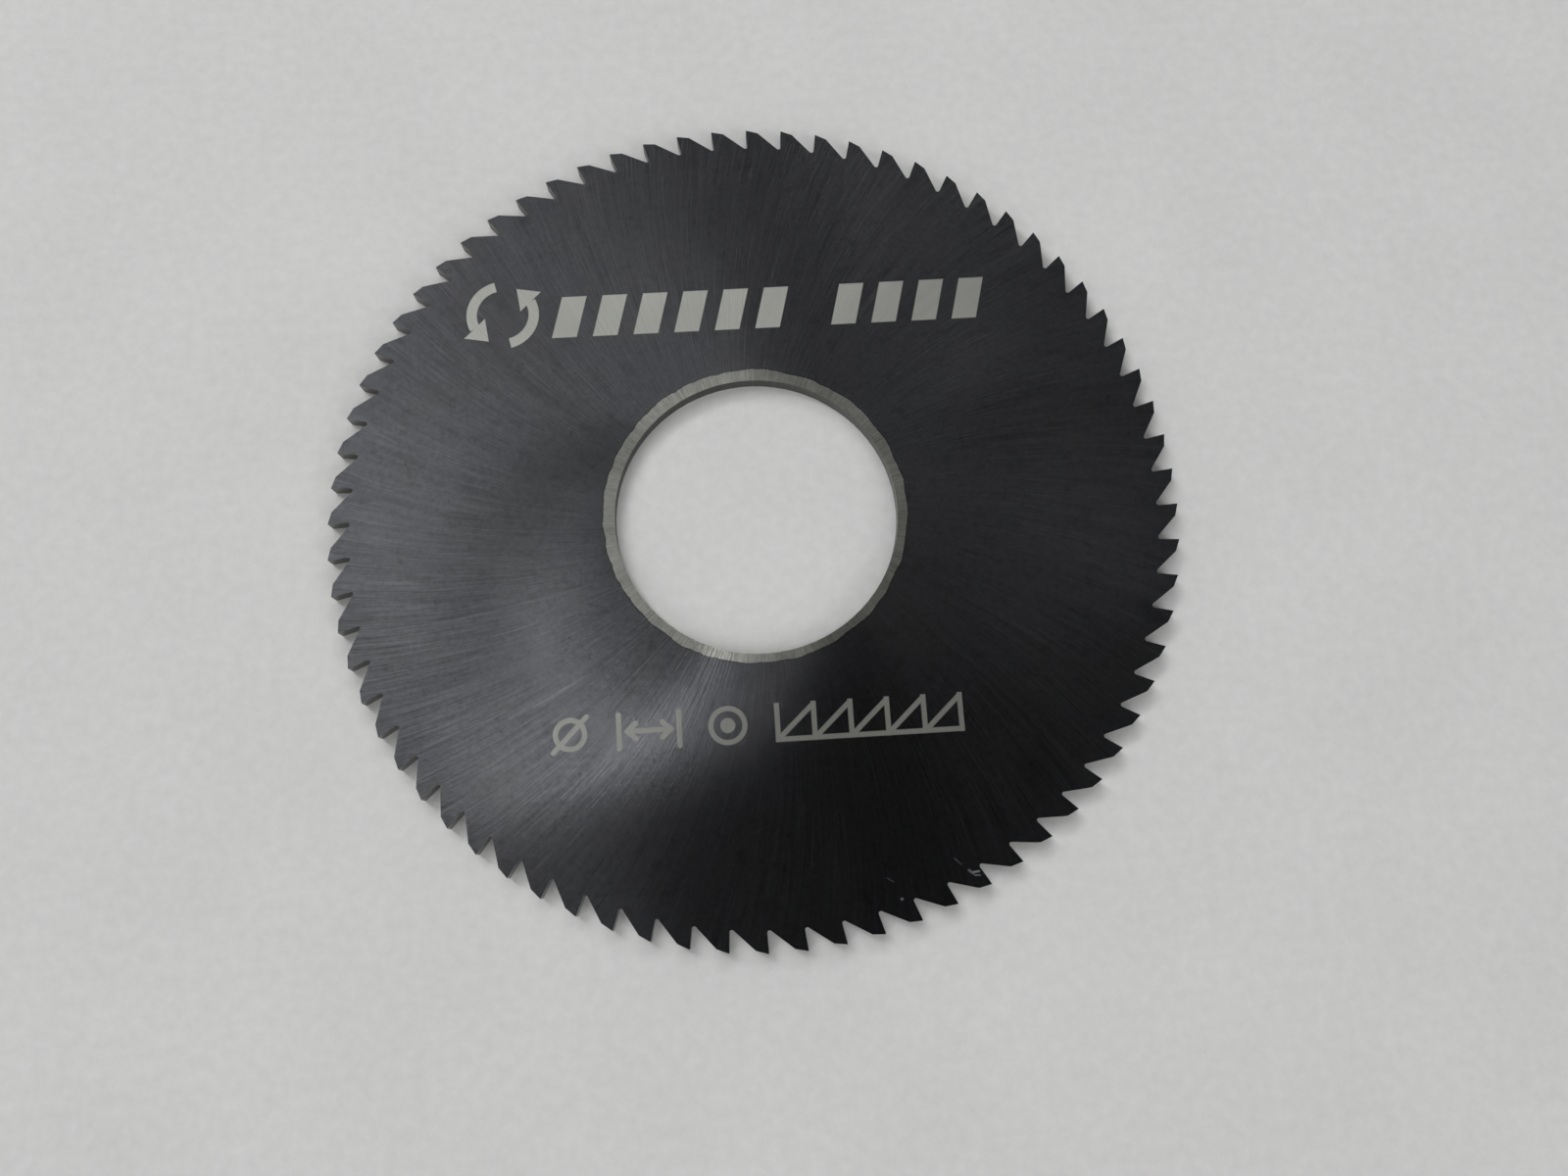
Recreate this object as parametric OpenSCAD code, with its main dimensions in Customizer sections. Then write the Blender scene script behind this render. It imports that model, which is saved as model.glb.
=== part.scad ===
/* [Blank] */
// Diameter over the tooth tips
outer_d = 76.2; // [60:0.1:100]
// Thickness at the tooth tips, which sets the width of the slot
thickness = 1.5875; // [0.8:0.0125:4]

/* [Hub] */
// Diameter of the arbor hole
bore_d = 25.4; // [12.7:0.1:32]
// Diameter of the parallel hub that the arbor flanges grip
hub_d = 38; // [34:0.5:60]
// How far each side of the hub lies below the sides of the tooth tips
side_relief = 0.04; // [0.01:0.01:0.2]

/* [Teeth] */
// Number of teeth
tooth_count = 72; // [48:1:84]
// Angle from +X to the first tooth tip
first_tip_angle = 3.23; // [0:0.01:5]
// Lean of the cutting face ahead of the radius
rake_angle = 3.5; // [0:0.5:10]
// Fall of the land behind the cutting edge
relief_angle = 15.5; // [8:0.5:20]
// Width of the land behind the cutting edge
land_w = 1.15; // [0.6:0.05:1.5]
// Depth from the tooth tips to the bottom of the gullets
gullet_depth = 1.93; // [1.5:0.01:2.5]
// Radius at the bottom of the gullets
root_r = 0.2; // [0.1:0.01:0.35]

/* [Hidden] */
$fn = 180;

bore_r = bore_d / 2;
hub_r = hub_d / 2;
tip_r = outer_d / 2;
pitch_angle = 360 / tooth_count;

// How far each cut runs past the finished saw. The blank is larger than the
// tooth tips by as much, and the open side of a gullet clears its rim.
overrun = 0.2;
blank_r = tip_r + overrun;
gullet_reach = 5 * overrun;

// A gullet lies between the cutting face of the tooth at angle 0 and the back
// of the next tooth, anticlockwise from it. Its root circle touches both.
tip = [tip_r, 0];
face_in = -heading(rake_angle);
root_center_r = tip_r - gullet_depth + root_r;
face_len = tip_r * cos(rake_angle)
    - sqrt(pow(root_center_r, 2) - pow(tip_r * sin(rake_angle) - root_r, 2));
face_foot = tip + face_len * face_in;
root_center = face_foot + root_r * heading(rake_angle + 90);

next_tip = tip_r * heading(pitch_angle);
land_dir = heading(pitch_angle - 90 - relief_angle);
land_end = next_tip + land_w * land_dir;
to_root = root_center - land_end;
back_len = sqrt(pow(norm(to_root), 2) - pow(root_r, 2));
back_heading = atan2(to_root.y, to_root.x) - asin(root_r / norm(to_root));
back_foot = land_end + back_len * heading(back_heading);

function heading(angle) = [cos(angle), sin(angle)];

// How far a side lies below the tooth sides: the hub is flat, and the rest of
// the side is ground to a shallow cone that rises to full thickness at the tips
function side_drop(r) = side_relief * (tip_r - max(r, hub_r)) / (tip_r - hub_r);

// Turned and side-ground blank with the arbor hole
module blank() {
    rotate_extrude()
        polygon([
            [bore_r, side_drop(bore_r)],
            [hub_r, side_drop(hub_r)],
            [blank_r, side_drop(blank_r)],
            [blank_r, thickness - side_drop(blank_r)],
            [hub_r, thickness - side_drop(hub_r)],
            [bore_r, thickness - side_drop(bore_r)]
        ]);
}

// Outline of one gullet, open past the rim of the blank
module gullet() {
    polygon([
        face_foot,
        tip - gullet_reach * face_in,
        next_tip - gullet_reach * land_dir,
        land_end,
        back_foot
    ]);
    translate(root_center)
        circle(r = root_r);
}

// All the gullets as one cutter, deeper than the blank on both sides
module gullet_cutter() {
    translate([0, 0, -overrun])
        linear_extrude(thickness + 2 * overrun)
            for (i = [0 : tooth_count - 1])
                rotate(first_tip_angle + i * pitch_angle)
                    gullet();
}

// The saw, one solid: a ground disc with teeth cut into its rim
module slitting_saw() {
    color("#4b4d53")
        difference() {
            blank();
            gullet_cutter();
        }
}

slitting_saw();
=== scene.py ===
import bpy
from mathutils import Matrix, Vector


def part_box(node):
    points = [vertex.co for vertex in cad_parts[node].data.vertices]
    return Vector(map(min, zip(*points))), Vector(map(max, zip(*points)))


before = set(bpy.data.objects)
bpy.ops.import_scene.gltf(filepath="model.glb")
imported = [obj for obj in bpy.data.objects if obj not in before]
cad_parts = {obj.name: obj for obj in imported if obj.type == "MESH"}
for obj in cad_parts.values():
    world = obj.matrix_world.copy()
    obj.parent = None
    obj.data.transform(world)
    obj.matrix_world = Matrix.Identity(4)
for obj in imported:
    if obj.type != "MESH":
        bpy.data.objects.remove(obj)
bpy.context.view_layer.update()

from math import cos, hypot, pi, radians, sin

import bmesh
import bpy
from mathutils import Vector

mm = 0.001  # the script's sizes are in millimetres, Blender's in metres
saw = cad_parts["slitting_saw"]
sawBottom, sawTop = [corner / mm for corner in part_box("slitting_saw")]
print("stage 1: frame loaded, saw measures", [round(side, 3) for side in sawTop - sawBottom])


class Wire:
    # A socket of a node tree, on which Python arithmetic adds Math nodes
    def __init__(self, tree, socket=None):
        self.tree = tree
        self.socket = socket

    def node(self, kind, settings=None, inputs=None, output=0):
        # Adds any node: its settings first, then the values or links of its sockets
        made = self.tree.nodes.new(kind)
        for name, value in (settings or {}).items():
            setattr(made, name, value)
        for name, value in (inputs or {}).items():
            if isinstance(value, Wire):
                self.tree.links.new(value.socket, made.inputs[name])
            else:
                made.inputs[name].default_value = value
        return Wire(self.tree, made.outputs[output] if made.outputs else None)

    def output(self, name):
        return Wire(self.tree, self.socket.node.outputs[name])

    def maths(self, operation, *values):
        return self.node("ShaderNodeMath", {"operation": operation}, dict(enumerate(values)))

    def __add__(self, other):
        return self.maths("ADD", self, other)

    def __sub__(self, other):
        return self.maths("SUBTRACT", self, other)

    def __rsub__(self, other):
        return self.maths("SUBTRACT", other, self)

    def __mul__(self, other):
        return self.maths("MULTIPLY", self, other)

    def __truediv__(self, other):
        return self.maths("DIVIDE", self, other)

    def __pow__(self, other):
        return self.maths("POWER", self, other)

    def __abs__(self):
        return self.maths("ABSOLUTE", self)

    __radd__ = __add__
    __rmul__ = __mul__


def ramped(value, low, high):
    # 0 below low, 1 above high, smooth between; low may be the greater of the two
    return value.node("ShaderNodeMapRange", {"interpolation_type": "SMOOTHSTEP"},
                      {"Value": value, "From Min": low, "From Max": high})


def noise(place, scale, detail=2.0, roughness=0.5):
    return place.node("ShaderNodeTexNoise", None,
                      {"Vector": place, "Scale": scale, "Detail": detail, "Roughness": roughness})


def blended(factor, first, second):
    # Colour mix, on sockets 6 and 7 of a Mix node; a plain colour is three numbers
    first, second = [colour if isinstance(colour, Wire) else (*colour, 1.0)
                     for colour in (first, second)]
    return factor.node("ShaderNodeMix", {"data_type": "RGBA"}, {0: factor, 6: first, 7: second}, 2)


def dimmed(colour, factor):
    return factor.node("ShaderNodeVectorMath", {"operation": "SCALE"},
                       {0: colour, "Scale": factor})


def point(x, y, z=0.0):
    wire = next(part for part in (x, y, z) if isinstance(part, Wire))
    return wire.node("ShaderNodeCombineXYZ", None, {0: x, 1: y, 2: z})


def newMaterial(name):
    material = bpy.data.materials.new(name)
    material.use_nodes = True
    material.node_tree.nodes.clear()
    return material, Wire(material.node_tree)


def seenBy(wire, *kinds):
    # 1 for rays of these kinds: Camera, Glossy for what metal shows, Transmission for glass
    rays = wire.node("ShaderNodeLightPath")
    return either(*[rays.output("Is " + kind + " Ray") for kind in kinds])


def surfaceOf(wire, shader):
    wire.node("ShaderNodeOutputMaterial", None, {"Surface": shader})


def within(value, low, high, soft):
    # 1 from low to high; this and the next shapes are drawn by distance, in mm
    return ramped(value, low - soft, low + soft) * ramped(value, high + soft, high - soft)


def stroke(x, y, start, end, width, soft):
    # A straight line with round ends
    alongX, alongY = end[0] - start[0], end[1] - start[1]
    length = alongX ** 2 + alongY ** 2
    share = ((x - start[0]) * alongX + (y - start[1]) * alongY) / length
    share = share.node("ShaderNodeClamp", None, {"Value": share})
    away = ((x - start[0] - share * alongX) ** 2 + (y - start[1] - share * alongY) ** 2) ** 0.5
    return ramped(away, width / 2 + soft, width / 2 - soft)


def hoop(x, y, centre, radius, width, soft):
    # A circle drawn with a line of some width
    away = abs(((x - centre[0]) ** 2 + (y - centre[1]) ** 2) ** 0.5 - radius)
    return ramped(away, width / 2 + soft, width / 2 - soft)


def either(*masks):
    joined = masks[0]
    for mask in masks[1:]:
        joined = joined.maths("MAXIMUM", joined, mask)
    return joined


coating = {
    "colour": (0.0390, 0.0402, 0.0433),
    "secondColour": (0.0396, 0.0403, 0.0426),
    "patch": 9.0,  # mm across the clouds of the two colours
    "patchEdge": 0.12,
    "clouding": 0.16,
    "cloudedShine": 0.06,
    "broadShine": 0.2812,  # roughness of the two shines that are mixed
    "narrowShine": 0.2249,
    "narrowShare": 0.65,
    "anisotropy": 1.0,
    "turn": 9.0,  # degrees from the radius to the direction of the broadest shine
    "edgeColour": (0.115, 0.115, 0.106),  # on the walls of the teeth
    "edgeMatt": 0.4,
    "edgeShine": 0.12,
    "flatFrom": (0.5, 0.7),  # how far a face has to look up or down to be ground
    "upperFrom": (0.7, 0.9),  # height from which it is the upper side
    "boreWithin": (20.0, 19.0),  # radius within which a wall is the hole's
}
grind = {
    "wheelRadius": 75.0,  # of the cup wheel that left the curved lines
    "lines": (  # how many round one turn, their length, their contrast
        (1500.0, 3.5, 0.31),
        (560.0, 7.0, 0.42),
        (210.0, 14.0, 0.24),
        (70.0, 20.0, 0.18),
    ),
    "sparseLines": (800.0, 5.0),
    "sparseFrom": (0.15, 0.22),
    "sparseContrast": 0.20,
    "grain": 0.42,
    "grainContrast": 0.62,
    "grainDepth": 0.3,
    "uneven": 7.0,  # mm across the areas where the lines are weaker or stronger
    "unevenFrom": (0.3, 0.7),
    "weakest": 0.55,
    "strongest": 1.45,
    "fadeIn": (17.0, 28.0),  # radii between which the lines reach full contrast
    "nearHub": 0.6,
    "nearTeeth": 1.1,
    "depth": 0.012,
}
wear = {
    "scratches": (  # start, end, width, how much brighter
        ((-20.2, -16.2), (-15.8, -13.8), 0.22, 0.34),
        ((-35.0, -8.4), (-27.0, -8.2), 0.24, 0.14),
        ((-27.0, -8.2), (-16.0, -6.0), 0.24, 0.14),
        ((-30.8, -12.6), (-22.4, -11.1), 0.30, 0.12),
        ((-24.6, -21.4), (-17.2, -16.6), 0.26, 0.16),
    ),
    "scratchSoft": 0.4,  # of the width
    # chips of bare metal with painted glints, far brighter than bare metal: start, end, width, how
    # much brighter
    "chipsAndGlints": (
        ((15.01, -31.26), (15.55, -31.78), 0.10, 5.0),
        ((16.17, -32.31), (16.48, -32.57), 0.22, 11.0),
        ((16.49, -32.49), (17.00, -32.44), 0.16, 20.0),
        ((16.63, -32.74), (17.05, -32.77), 0.12, 13.0),
        ((9.13, -32.51), (9.69, -32.87), 0.10, 4.0),
        ((10.25, -34.32), (10.29, -34.32), 0.22, 11.0),
    ),
    "chipAndGlintSoft": 0.3,
    "pits": ((-31.2, 6.36), (-27.38, 2.66), (-20.6, 15.4), (-16.02, -8.28), (-17.3, -11.35),
             (-17.02, -10.32), (-14.96, -7.46), (-27.0, -13.4)),
    "pitSize": 0.26,
    "pitSoft": 0.06,
    "pitShade": 0.35,
    "mottle": 1.2,
    "mottleFrom": (0.54, 0.70),
    "mottleShade": 0.13,
}
bareRing = {
    "colour": (0.139, 0.141, 0.128),
    "radius": 13.655,
    "centre": (-0.071, 0.141),
    "facets": 46.0,  # round one turn, as the streaks are
    "facetMiddle": 0.38,
    "facetDepth": 0.28,
    "wander": 5.0,  # scale of the slow noise round the hole, and of the quick one below
    "wanderDepth": 0.25,
    "wanderContrast": 0.7,
    "ragged": 26.0,
    "raggedDepth": 0.16,
    "raggedContrast": 0.5,
    "streaks": 700.0,
    "streakScale": 0.3,  # along the radius
    "streakContrast": 1.3,
    "grainContrast": 0.5,
    "soft": 0.025,
    # painted shadow along the outside of the ring's edge: its width in mm, and how much it darkens
    # the coating
    "paintedRimShadowWidth": 0.16,
    "paintedRimShadow": 0.45,
    # painted shade on the hole's wall, a darker copy of the ring's colour
    "boreWallPaintedShade": 0.5,
    "matt": 0.25,
}
etched = {
    "colour": (0.300, 0.304, 0.281),
    # painted shade: the lower row of marks is made darker than the upper one
    "lowerRowPaintedShade": 0.76,
    "lowerRowPaintedShadeFrom": (-5.0, 5.0),
    "matt": 0.04,
    "shine": 0.562,
    "anisotropy": 0.667,
    "frost": 9.0,  # grains a mm
    "frostContrast": 0.30,
    "frostShine": 0.1,
    "lineContrast": 0.16,
    "cloudContrast": 0.2,
    "soft": 0.04,
    "endSoft": 0.01,
    "bandBottom": 17.8,
    "bandTop": 21.8,
    "bandLean": 0.26,
    "barPitch": 3.75,
    "barWidth": 2.35,
    "firstGroup": (-17.4, 6),  # where its bars start, and how many they are
    "secondGroup": (8.4, 4),
    "turnSign": (-22.3, 20.3),
    "turnRadius": 2.85,
    "turnWidth": 0.95,
    "turnArc": (-1.35, 0.45),  # radians, from an arrow's tail to the base of its head
    "headLength": 1.8,
    "headHalf": 1.3,
    "rowMiddle": -18.8,
    "rowHeight": 3.4,
    "lineWidth": 0.45,
    "diameterAt": -17.2,
    "diameterRadius": 1.25,
    "diameterReach": 1.45,
    "widthAt": -10.4,
    "widthHalf": 2.6,
    "arrowTip": 1.9,
    "arrowBarb": (1.15, 0.65),
    "boreAt": -3.6,
    "boreDot": 1.3,
    "teethAt": 0.7,
    "teeth": 5,
    "toothPitch": 3.2,
}


def turnArrow(across, up):
    # Half of a ring with an arrow head at its end
    radius, width, soft = [etched[key] for key in ("turnRadius", "turnWidth", "soft")]
    length, half = etched["headLength"], etched["headHalf"]
    tail, base = etched["turnArc"]
    angle = up.maths("ARCTAN2", up, across)
    arc = hoop(across, up, (0.0, 0.0), radius, width, soft)
    arc = arc * within(angle, tail, base, etched["endSoft"])
    heading = base + length / radius / 2
    fromX, fromY = across - radius * cos(base), up - radius * sin(base)
    along = fromY * cos(heading) - fromX * sin(heading)
    aside = fromX * cos(heading) + fromY * sin(heading)
    head = ramped(abs(aside) * (length / half) + along, length + soft, length - soft)
    return either(arc, head * ramped(along, -soft * 2, 0.0))


def turnSign(x, y):
    # Two arrows round a centre: the way that the saw turns
    across, up = x - etched["turnSign"][0], y - etched["turnSign"][1]
    return either(turnArrow(across, up), turnArrow(across * -1, up * -1))


def slantedBars(x, y, start, count):
    soft = etched["soft"]
    middle = (etched["bandBottom"] + etched["bandTop"]) / 2
    along = (x - start - (y - middle) * etched["bandLean"]) / etched["barPitch"]
    inBar = along.maths("FRACT", along)
    share = etched["barWidth"] / etched["barPitch"]
    edge = soft / etched["barPitch"]
    bar = within(inBar, edge * 2, share, edge)
    run = within(along, 0.0, float(count), edge)
    return bar * run * within(y, etched["bandBottom"], etched["bandTop"], soft)


def sizeSigns(x, y):
    # Thin signs for diameter, width, hole and teeth
    tall, width, soft = [etched[key] for key in ("rowHeight", "lineWidth", "soft")]
    reach = tall / 2 - width / 2
    up = y - etched["rowMiddle"]
    left, right = [etched["diameterAt"] + side * etched["diameterReach"] for side in (-1, 1)]
    shapes = [
        hoop(x, up, (etched["diameterAt"], 0.0), etched["diameterRadius"], width, soft),
        stroke(x, up, (left, -reach), (right, reach), width, soft),
        hoop(x, up, (etched["boreAt"], 0.0), reach, width, soft),
        hoop(x, up, (etched["boreAt"], 0.0), 0.0, etched["boreDot"], soft),
    ]
    end, tip = etched["widthHalf"], (etched["arrowTip"], 0.0)
    for start, stop in (((end, 0.0), (end, reach)), ((0.0, 0.0), tip), (tip, etched["arrowBarb"])):
        shapes.append(stroke(abs(x - etched["widthAt"]), abs(up), start, stop, width, soft))
    pitch, teeth = etched["toothPitch"], etched["teeth"]
    along = (x - etched["teethAt"]) / pitch
    share = along.maths("FRACT", along)
    slant = abs(up + reach - share * (2 * reach)) / hypot(1.0, 2 * reach / pitch)
    drop = (0.5 - abs(share - 0.5)) * pitch
    foot = abs(up + reach)
    outline = slant.maths("MINIMUM", slant, slant.maths("MINIMUM", drop, foot))
    shapes.append(ramped(outline, width / 2 + soft, width / 2 - soft)
                  * within(along, -width / 2 / pitch, teeth + width / 2 / pitch, etched["endSoft"])
                  * within(up, -tall / 2, tall / 2, soft))
    return either(*shapes)


def coatedCarbide():
    material, wire = newMaterial("coatedCarbide")
    coordinates = wire.node("ShaderNodeTexCoord")
    place = wire.node("ShaderNodeVectorMath", {"operation": "SCALE"},
                      {0: coordinates.output("Object"), "Scale": 1 / mm})
    axes = wire.node("ShaderNodeSeparateXYZ", None, {0: place})
    x, y, z = [axes.output(name) for name in "XYZ"]
    normal = wire.node("ShaderNodeSeparateXYZ", None, {0: coordinates.output("Normal")})
    radius = (x * x + y * y) ** 0.5
    cosine, sine = x / radius, y / radius
    flat = ramped(abs(normal.output("Z")), *coating["flatFrom"])
    wall = 1 - flat
    upper = ramped(z, *coating["upperFrom"]) * flat

    # grind lines: arcs of the wheel's rim, all through the axis
    bend = radius / (2 * grind["wheelRadius"])
    swirl = y.maths("ARCTAN2", y, x) + bend.maths("ARCSINE", bend)
    across, up = swirl.maths("COSINE", swirl), swirl.maths("SINE", swirl)

    def lines(count, length):
        turns = count / (2 * pi)
        return noise(point(across * turns, up * turns, radius / length), 1.0, detail=1.0) - 0.5

    def between(share, low, high):
        return share * (high - low) + low

    sets = [lines(count, length) for count, length, _ in grind["lines"]]
    patches = ramped(noise(place, 1 / grind["uneven"], detail=1.0), *grind["unevenFrom"])
    uneven = (between(patches, grind["weakest"], grind["strongest"])
              * between(ramped(radius, *grind["fadeIn"]), grind["nearHub"], grind["nearTeeth"]))
    streaky = sum(made * values[2] for made, values in zip(sets, grind["lines"])) * uneven
    grain = noise(place, 1 / grind["grain"], roughness=0.6) - 0.5
    clouds = noise(place, 1 / coating["patch"]) - 0.5
    sparse = ramped(lines(*grind["sparseLines"]), *grind["sparseFrom"])
    mottled = ramped(noise(place, 1 / wear["mottle"], detail=3.0, roughness=0.6),
                     *wear["mottleFrom"])
    scratched = either(*[stroke(x, y, start, end, width, width * wear["scratchSoft"]) * gain
                         for start, end, width, gain in wear["scratches"]])

    coat = blended(ramped(clouds, -coating["patchEdge"], coating["patchEdge"]),
                   coating["colour"], coating["secondColour"])
    coat = dimmed(coat, 1 + streaky + grain * grind["grainContrast"]
                  + clouds * coating["clouding"] + sparse * grind["sparseContrast"]
                  - mottled * wear["mottleShade"] + scratched)

    # bare ring round the hole, ground through the coating
    def roundHole(scale, along=0.0):
        return point(cosine * scale, sine * scale, along)

    offX, offY = x - bareRing["centre"][0], y - bareRing["centre"][1]
    ringRadius = (offX * offX + offY * offY) ** 0.5
    cells = wire.node("ShaderNodeTexVoronoi", None,
                      {"Vector": roundHole(bareRing["facets"] / (2 * pi)), "Scale": 1.0})
    wander = noise(roundHole(bareRing["wander"]), 1.0, detail=3.0, roughness=0.6) - 0.5
    ragged = noise(roundHole(bareRing["ragged"]), 1.0, detail=3.0, roughness=0.7) - 0.5
    edge = (ringRadius - bareRing["radius"]
            - (bareRing["facetMiddle"] - cells) * bareRing["facetDepth"]
            - wander * bareRing["wanderDepth"] - ragged * bareRing["raggedDepth"])
    inRing = ramped(edge, bareRing["soft"], -bareRing["soft"])
    # painted shadow: a dark line on the coating just outside the bare ring's edge
    ringEdgeShadow = ramped(edge, bareRing["paintedRimShadowWidth"], 0.0)
    streaks = noise(roundHole(bareRing["streaks"] / (2 * pi), radius * bareRing["streakScale"]),
                    1.0, roughness=0.7) - 0.5
    ringTone = (1 + streaks * bareRing["streakContrast"] + wander * bareRing["wanderContrast"]
                + ragged * bareRing["raggedContrast"] + grain * bareRing["grainContrast"])
    ringColour = dimmed(bareRing["colour"], ringTone)
    colour = blended(inRing, dimmed(coat, 1 - ringEdgeShadow * bareRing["paintedRimShadow"]), ringColour)

    # etched marks on the upper side
    printed = either(
        turnSign(x, y),
        slantedBars(x, y, *etched["firstGroup"]),
        slantedBars(x, y, *etched["secondGroup"]),
        sizeSigns(x, y),
    ) * upper
    frost = noise(place, etched["frost"], roughness=0.6) - 0.5
    etchedTone = (1 + frost * etched["frostContrast"] + sets[1] * etched["lineContrast"]
                  + clouds * etched["cloudContrast"])
    # painted shade: the marks of the lower row darker than the upper ones
    rowPaintedShade = between(ramped(y, *etched["lowerRowPaintedShadeFrom"]), etched["lowerRowPaintedShade"], 1.0)
    etchedColour = dimmed(etched["colour"], etchedTone * rowPaintedShade)

    # chips that show bare metal, painted far brighter than bare metal as glints, and small pits
    chippedAndGlinting = either(*[stroke(x, y, start, end, width, width * wear["chipAndGlintSoft"]) * gain
                      for start, end, width, gain in wear["chipsAndGlints"]]) * upper
    pitted = either(*[hoop(x, y, spot, 0.0, wear["pitSize"], wear["pitSoft"])
                      for spot in wear["pits"]]) * upper
    colour = dimmed(colour, (1 + chippedAndGlinting) * (1 - pitted * wear["pitShade"]))

    # walls of the hole and of the teeth; the hole's wall is the bare ring's colour, dimmed as
    # painted shade
    inBore = ramped(radius, *coating["boreWithin"])
    boreColourWithPaintedShade = dimmed(bareRing["colour"], ringTone * bareRing["boreWallPaintedShade"])
    wallColour = blended(inBore, coating["edgeColour"], boreColourWithPaintedShade)
    colour = blended(wall, colour, wallColour)

    # two shines across the grind lines, and a duller one on the marks
    extra = abs(clouds) * coating["cloudedShine"] + wall * coating["edgeShine"]
    metallic = 1 - inRing * bareRing["matt"] * flat - wall * coating["edgeMatt"]
    height = sets[0] + sets[1] + grain * grind["grainDepth"]
    bump = wire.node("ShaderNodeBump", None,
                     {"Strength": 1.0, "Distance": grind["depth"] * mm, "Height": height})
    broad, narrow = [wire.node("ShaderNodeBsdfPrincipled", None, {
        "Base Color": colour,
        "Roughness": extra + coating[shine],
        "Metallic": metallic,
        "Normal": bump,
        "Anisotropic": coating["anisotropy"],
        "Anisotropic Rotation": -coating["turn"] / 360,
    }) for shine in ("broadShine", "narrowShine")]
    coated = wire.node("ShaderNodeMixShader", None,
                       {0: coating["narrowShare"], 1: broad, 2: narrow})
    marks = wire.node("ShaderNodeBsdfPrincipled", None, {
        "Base Color": etchedColour,
        "Roughness": etched["shine"] + frost * etched["frostShine"],
        "Metallic": 1 - etched["matt"],
        "Normal": bump,
        "Anisotropic": etched["anisotropy"],
    })
    surfaceOf(wire, wire.node("ShaderNodeMixShader", None, {0: printed, 1: coated, 2: marks}))
    return material


saw.data.materials[0] = coatedCarbide()
print("stage 2: coated carbide on the saw")


floorSizes = {
    "radius": 3000.0,
    "below": 0.01,  # gap under the saw, so that the two never share a plane
    "steps": 96,
    "colour": (0.66, 0.66, 0.655),
    "farColour": (0.558, 0.558, 0.554),  # as the camera sees it far off, and the backdrop
    "farFrom": (100.0, 400.0),
    "fibres": 900.0,  # noise scales, a metre
    "fibreContrast": 0.20,
    "clouds": 60.0,
    "cloudContrast": 0.10,
    "roughness": 0.9,
    "specular": 0.1,
}


def paleFloor():
    mesh = bpy.data.meshes.new("floor")
    shape = bmesh.new()
    bmesh.ops.create_circle(shape, cap_ends=True, segments=floorSizes["steps"],
                            radius=floorSizes["radius"] * mm)
    bmesh.ops.translate(shape, verts=shape.verts, vec=(0.0, 0.0, -floorSizes["below"] * mm))
    shape.to_mesh(mesh)
    shape.free()
    floor = bpy.data.objects.new("floor", mesh)
    bpy.context.scene.collection.objects.link(floor)

    material, wire = newMaterial("palePaper")
    place = wire.node("ShaderNodeTexCoord").output("Object")
    axes = wire.node("ShaderNodeSeparateXYZ", None, {0: place})
    x, y = axes.output("X"), axes.output("Y")
    fibres = noise(place, floorSizes["fibres"], detail=3.0, roughness=0.6) - 0.5
    clouds = noise(place, floorSizes["clouds"]) - 0.5
    tone = 1 + fibres * floorSizes["fibreContrast"] + clouds * floorSizes["cloudContrast"]
    paper = wire.node("ShaderNodeBsdfPrincipled", None, {
        "Base Color": dimmed(floorSizes["colour"], tone),
        "Roughness": floorSizes["roughness"],
        "Specular IOR Level": floorSizes["specular"],
    })
    far = ramped((x * x + y * y) ** 0.5, *[edge * mm for edge in floorSizes["farFrom"]])
    glow = wire.node("ShaderNodeEmission", None,
                     {"Color": (*floorSizes["farColour"], 1.0), "Strength": 1.0})
    pale = far * seenBy(wire, "Camera", "Glossy", "Transmission")
    surfaceOf(wire, wire.node("ShaderNodeMixShader", None, {0: pale, 1: paper, 2: glow}))
    mesh.materials.append(material)


paleFloor()
print("stage 3: floor")


lampDistance = 1000.0
lamps = {  # compass and height in degrees, width and tallness in mm, brightness
    "softboxStrip": (140.7, 50.2, 58.0, 344.0, 21.57),
    "softboxStripHigh": (140.4, 65.7, 77.0, 210.0, 13.13),
    "softboxTop": (135.4, 78.3, 30.0, 49.0, 36.73),
    "softboxTopLine": (197.5, 83.5, 871.0, 60.0, 2.25),
    "softboxBackWide": (114.4, 44.5, 830.0, 95.0, 6.15),
    "softboxBackHigh": (123.4, 62.2, 186.0, 448.0, 2.37),
    "softboxBackRight": (78.2, 44.6, 831.0, 303.0, 1.12),
    "softboxBackLow": (117.4, 48.4, 408.0, 60.0, 5.63),
    "softboxFrontHigh": (276.0, 72.9, 383.0, 87.0, 4.51),
    "softboxFront": (296.7, 42.2, 257.0, 1234.0, 1.73),
    "softboxFrontRight": (319.1, 36.0, 209.0, 513.0, 4.46),
    "softboxLeft": (229.2, 42.3, 30.0, 610.0, 8.25),
    "softboxFrontLeft": (213.6, 43.3, 219.0, 443.0, 2.65),
    "softboxRight": (62.2, 66.3, 428.0, 300.0, 0.53),
}
room = {
    "ceiling": (0.003, 0.003, 0.003),
    "walls": (0.25, 0.25, 0.25),  # as light; metal sees them in the floor's far colour
    "wallTop": (0.62, 0.40),  # sines of the heights between which the walls fade
}


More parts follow.
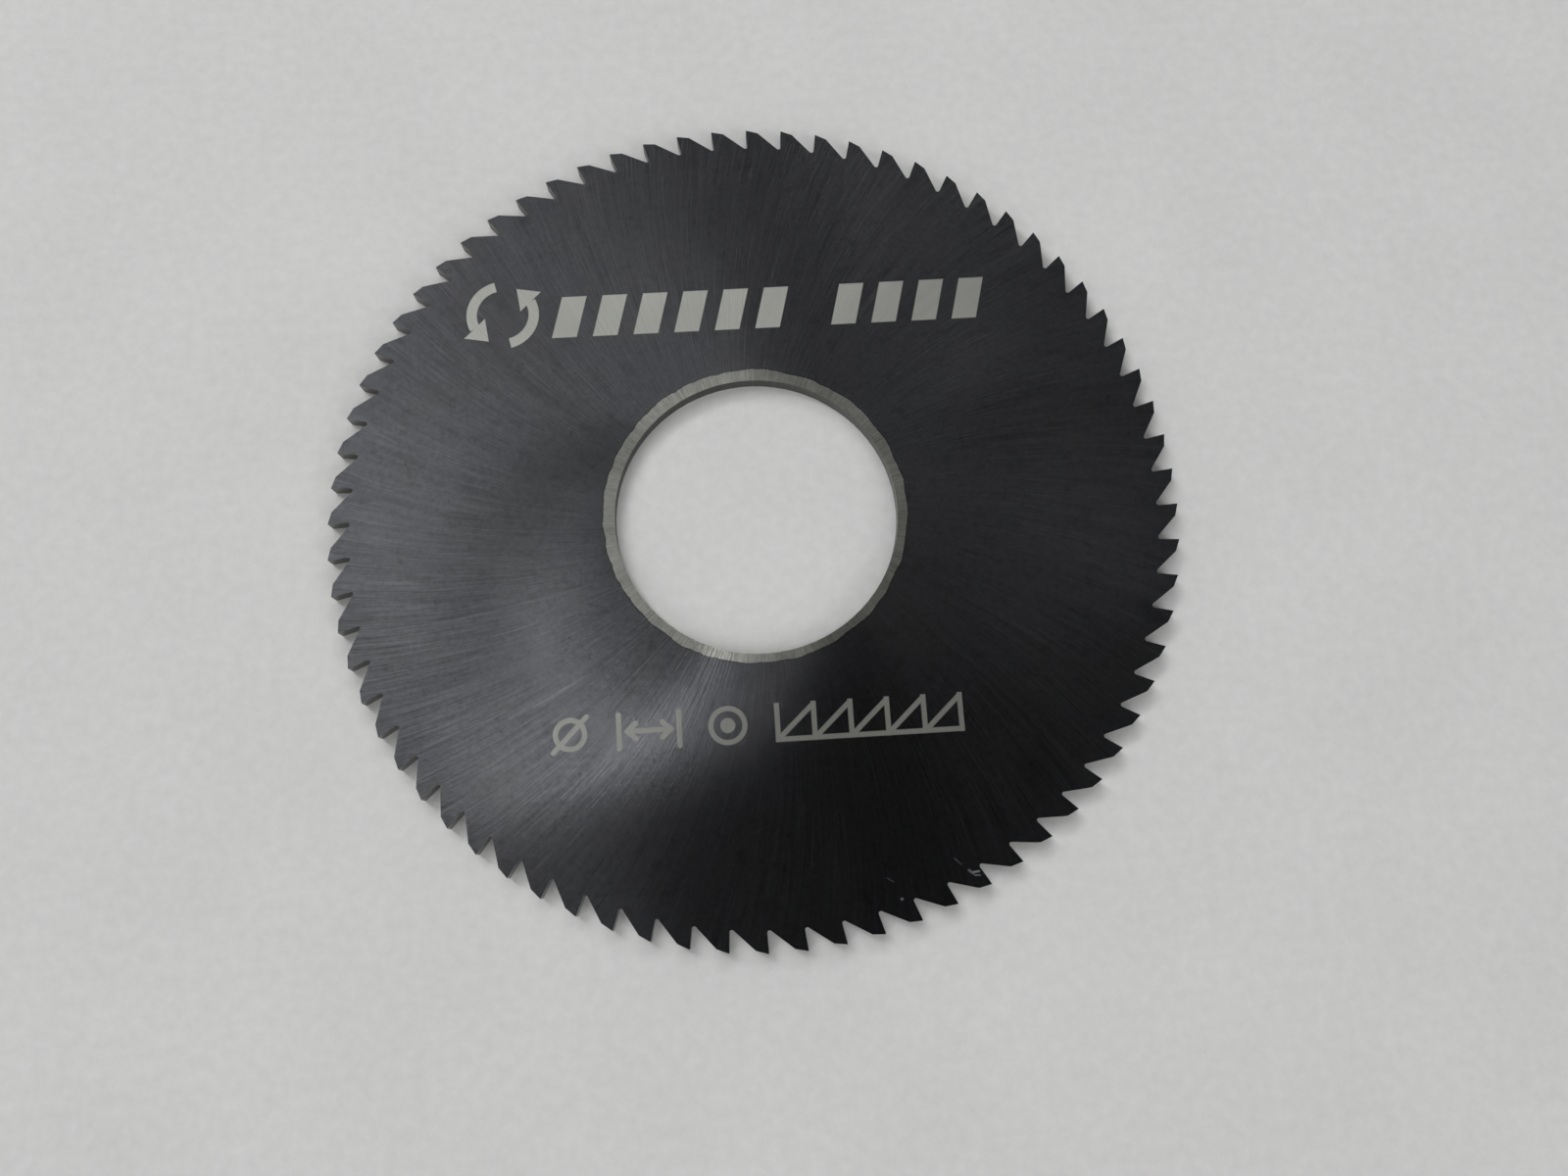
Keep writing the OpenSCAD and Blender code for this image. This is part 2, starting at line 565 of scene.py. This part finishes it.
def softbox(name, compass, height, width, tall, brightness):
    light = bpy.data.lights.new(name, "AREA")
    light.shape = "RECTANGLE"
    light.size, light.size_y = width * mm, tall * mm
    light.energy = brightness * light.size * light.size_y * pi  # brightness is its radiance
    lamp = bpy.data.objects.new(name, light)
    towards = Vector((cos(radians(height)) * cos(radians(compass)),
                      cos(radians(height)) * sin(radians(compass)), sin(radians(height))))
    lamp.location = towards * lampDistance * mm
    lamp.rotation_euler = (-towards).to_track_quat("-Z", "Y").to_euler()
    lamp.visible_camera = False
    bpy.context.scene.collection.objects.link(lamp)


for name, values in lamps.items():
    softbox(name, *values)
world = bpy.data.worlds.new("dimRoom")
world.use_nodes = True
world.node_tree.nodes.clear()
wire = Wire(world.node_tree)
direction = wire.node("ShaderNodeTexCoord").output("Generated")
rise = wire.node("ShaderNodeSeparateXYZ", None, {0: direction}).output("Z")
walls = blended(seenBy(wire, "Glossy", "Transmission"), room["walls"], floorSizes["farColour"])
roomLight = blended(ramped(rise, *room["wallTop"]), room["ceiling"], walls)
backdrop = blended(seenBy(wire, "Camera"), roomLight, floorSizes["farColour"])
wire.node("ShaderNodeOutputWorld", None,
          {"Surface": wire.node("ShaderNodeBackground", None, {"Color": backdrop})})
bpy.context.scene.world = world
print("stage 4:", len(lamps), "lamps")


view = {  # place in mm, turn in degrees
    "place": (-2.1845, -31.2284, 113.7986),
    "turn": (12.31543, -1.36072, -3.60723),
    "lens": 29.779,
    "sensor": 36.0,
    "nearest": 2.0,
    "farthest": 10000.0,
}
camera = bpy.data.objects.new("camera", bpy.data.cameras.new("camera"))
camera.data.lens = view["lens"]
camera.data.sensor_width = view["sensor"]
camera.data.sensor_fit = "HORIZONTAL"
camera.data.clip_start, camera.data.clip_end = view["nearest"] * mm, view["farthest"] * mm
camera.location = Vector(view["place"]) * mm
camera.rotation_euler = [radians(angle) for angle in view["turn"]]
bpy.context.scene.collection.objects.link(camera)
bpy.context.scene.camera = camera
bpy.context.scene.view_settings.view_transform = "Standard"
print("stage 5: camera")

bpy.context.view_layer.update()
